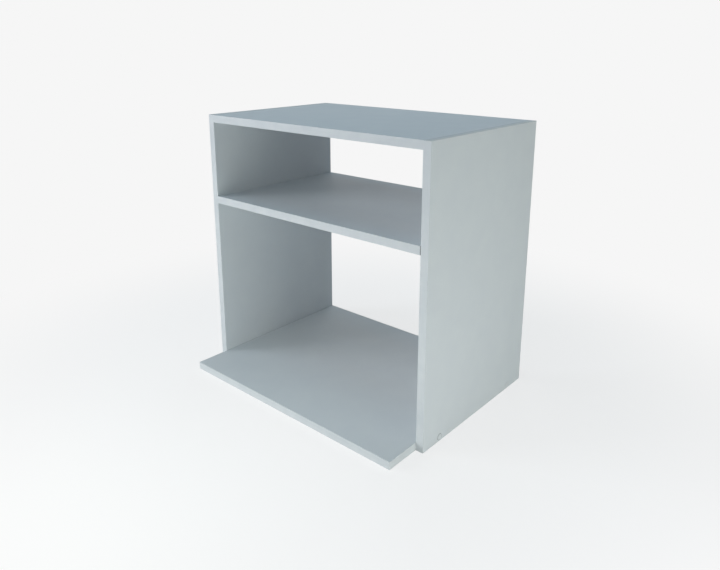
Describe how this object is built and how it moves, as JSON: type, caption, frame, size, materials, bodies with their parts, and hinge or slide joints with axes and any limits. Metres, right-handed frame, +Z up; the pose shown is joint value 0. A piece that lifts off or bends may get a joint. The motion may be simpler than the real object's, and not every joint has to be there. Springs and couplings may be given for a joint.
{
  "type": "microwave oven stand",
  "caption": "Flat-pack counter-top stand: an open carcass of white boards with a deep projecting base for a microwave oven and an open shelf bay above it.",
  "frame": {"origin": "middle of the footprint, on the surface that the stand rests on", "axes": "+X to the right as seen from the front, +Y from the front to the back, +Z up"},
  "size_m": [0.5508, 0.412, 0.535],
  "materials": {
    "melamine_board": "white satin melamine paper on both faces of 15 mm chipboard, raw on the back and bottom edges",
    "edge_band": "white satin PVC edge tape, 0.45 mm",
    "cast_zinc": "die-cast zinc alloy, tumbled",
    "zinc_plated_steel": "turned steel, bright zinc plating",
    "beech": "plain turned beech",
    "cover_plastic": "moulded white polyethylene",
    "cap_film": "white self-adhesive PVC film"
  },
  "bodies": {
    "root": {"side_left": "melamine_board", "side_right": "melamine_board", "top_panel": "melamine_board", "shelf_panel": "melamine_board", "base_panel": "melamine_board", "rear_rail": "melamine_board", "side_left_front_band": "edge_band", "side_left_top_band": "edge_band", "side_right_front_band": "edge_band", "side_right_top_band": "edge_band", "top_front_band": "edge_band", "shelf_front_band": "edge_band", "base_front_band": "edge_band", "base_left_end_band": "edge_band", "base_right_end_band": "edge_band", "rail_bottom_band": "edge_band", "top_cam_housings": "cast_zinc", "shelf_cam_housings": "cast_zinc", "top_cam_bolts": "zinc_plated_steel", "shelf_cam_bolts": "zinc_plated_steel", "base_screws": "zinc_plated_steel", "top_dowels": "beech", "shelf_dowels": "beech", "rail_dowels": "beech", "top_cam_covers": "cover_plastic", "shelf_cam_covers": "cover_plastic", "base_screw_caps": "cap_film"}
  },
  "joints": []
}
